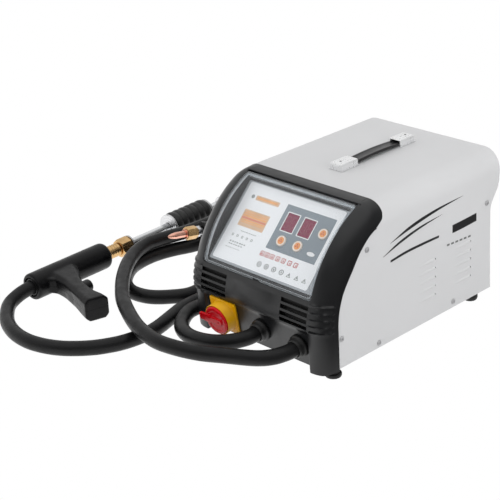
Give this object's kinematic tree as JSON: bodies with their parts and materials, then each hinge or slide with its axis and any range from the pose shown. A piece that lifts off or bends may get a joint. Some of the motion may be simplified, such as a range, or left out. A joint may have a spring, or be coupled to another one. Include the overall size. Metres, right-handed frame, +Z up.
{
  "type": "spot welder",
  "caption": "Portable resistance spot welder with a sloping front under a hinged clear visor, a rotary main switch, a pistol gun with a slide hammer, a hand electrode and two heavy leads.",
  "frame": {"origin": "bottom centre of the whole object as it stands: cabinet, leads, gun and hand electrode laid out on the floor", "axes": "+Z up; the machine front faces -Y; +X is the side away from the laid-out gun"},
  "size_m": [0.6732, 0.7106, 0.2804],
  "materials": {
    "cabinet_paint": "light warm grey powder coat, satin",
    "front_moulding": "charcoal moulded plastic, fine texture",
    "cap_metal": "satin silver",
    "black_plastic": "black moulded plastic, satin",
    "rubber": "black rubber, lightly scuffed",
    "polished_steel": "bright polished steel",
    "zinc_plate": "zinc plated",
    "brass": "machined brass",
    "copper": "pink electrode copper",
    "knob_red": "glossy red",
    "plate_yellow": "glossy yellow",
    "panel_overlay": "printed overlay, light grey",
    "button_orange": "orange cap with a pale rim",
    "display_red": "dark red display window",
    "visor_clear": "clear polycarbonate",
    "circuit_board": "green board",
    "core_iron": "stacked laminations",
    "coil_varnish": "varnished copper winding",
    "sink_aluminium": "extruded"
  },
  "bodies": {
    "root": {"base_pan": "cabinet_paint", "control_board": "circuit_board", "control_panel": "panel_overlay", "display_left": "display_red", "display_right": "display_red", "earth_cable": "rubber", "electrode_collar": "polished_steel", "electrode_handle": "black_plastic", "electrode_tip": "copper", "fan_frame": "black_plastic", "foot_front_left": "rubber", "foot_front_right": "rubber", "foot_rear_left": "rubber", "foot_rear_right": "rubber", "front_bezel": "front_moulding", "gland_earth": "rubber", "gland_gun": "rubber", "gun_cable": "rubber", "gun_shell_lower": "black_plastic", "gun_shell_upper": "black_plastic", "handle_cap_front": "cap_metal", "handle_cap_rear": "cap_metal", "heat_sink": "sink_aluminium", "lock_washer": "zinc_plate", "mains_gland": "black_plastic", "nose_fitting": "brass", "primary_coil": "coil_varnish", "rear_panel": "cabinet_paint", "rod_end_stop": "polished_steel", "screw_left_foot_front": "zinc_plate", "screw_left_foot_rear": "zinc_plate", "screw_left_high_front": "zinc_plate", "screw_left_high_rear": "zinc_plate", "screw_left_low_front": "zinc_plate", "screw_right_foot_front": "zinc_plate", "screw_right_foot_rear": "zinc_plate", "screw_right_high_front": "zinc_plate", "screw_right_high_rear": "zinc_plate", "screw_right_low_front": "zinc_plate", "secondary_bar_earth": "copper", "secondary_bar_gun": "copper", "slide_rod": "polished_steel", "switch_body": "black_plastic", "switch_plate": "plate_yellow", "thyristor_module": "black_plastic", "top_cover": "cabinet_paint", "transformer_core": "core_iron", "visor_hinge_pin": "polished_steel"},
    "visor": {"visor": "visor_clear"},
    "main_switch": {"switch_knob": "knob_red"},
    "button_one": {"button_1": "button_orange"},
    "button_two": {"button_2": "button_orange"},
    "button_three": {"button_3": "button_orange"},
    "trigger": {"gun_trigger": "black_plastic"},
    "hammer": {"hammer_weight": "polished_steel", "hammer_grip": "rubber"},
    "fan": {"fan_rotor": "black_plastic"},
    "strap": {"handle_strap": "black_plastic"},
    "chuck": {"chuck_nut": "brass"},
    "electrode_clamp": {"electrode_nut": "brass"}
  },
  "joints": [
    {"name": "visor_hinge", "type": "hinge", "parent": "root", "child": "visor", "pos_m": [0.17378, 0.01471, 0.25803], "axis": [-1, 0, 0], "range_deg": [0, 86]},
    {"name": "switch_turn", "type": "hinge", "parent": "root", "child": "main_switch", "pos_m": [0.09678, -0.09805, 0.048], "axis": [0, 0.989, 0.1476], "range_deg": [0, 90]},
    {"name": "button_one_press", "type": "slide", "parent": "root", "child": "button_one", "axis": [0, 0.7122, -0.702], "range_m": [0, 0.001]},
    {"name": "button_two_press", "type": "slide", "parent": "root", "child": "button_two", "axis": [0, 0.7122, -0.702], "range_m": [0, 0.001]},
    {"name": "button_three_press", "type": "slide", "parent": "root", "child": "button_three", "axis": [0, 0.7122, -0.702], "range_m": [0, 0.001]},
    {"name": "trigger_pull", "type": "slide", "parent": "root", "child": "trigger", "axis": [0.0448, -0.999, 0], "range_m": [0, 0.006]},
    {"name": "hammer_slide", "type": "slide", "parent": "root", "child": "hammer", "axis": [-0.0448, 0.999, 0], "range_m": [-0.103, 0.039]},
    {"name": "fan_spin", "type": "hinge", "parent": "root", "child": "fan", "pos_m": [0.21878, 0.32052, 0.102], "axis": [0, 1, 0], "continuous": true},
    {"name": "strap_lift", "type": "slide", "parent": "root", "child": "strap", "axis": [0, 0, 1], "range_m": [0, 0.0025]},
    {"name": "chuck_turn", "type": "hinge", "parent": "root", "child": "chuck", "pos_m": [-0.29902, -0.04418, 0.0262], "axis": [-0.0448, 0.999, 0], "continuous": true},
    {"name": "electrode_clamp_turn", "type": "hinge", "parent": "root", "child": "electrode_clamp", "pos_m": [-0.19178, 0.07618, 0.06017], "axis": [0.077, 0.9859, -0.1486], "continuous": true}
  ]
}
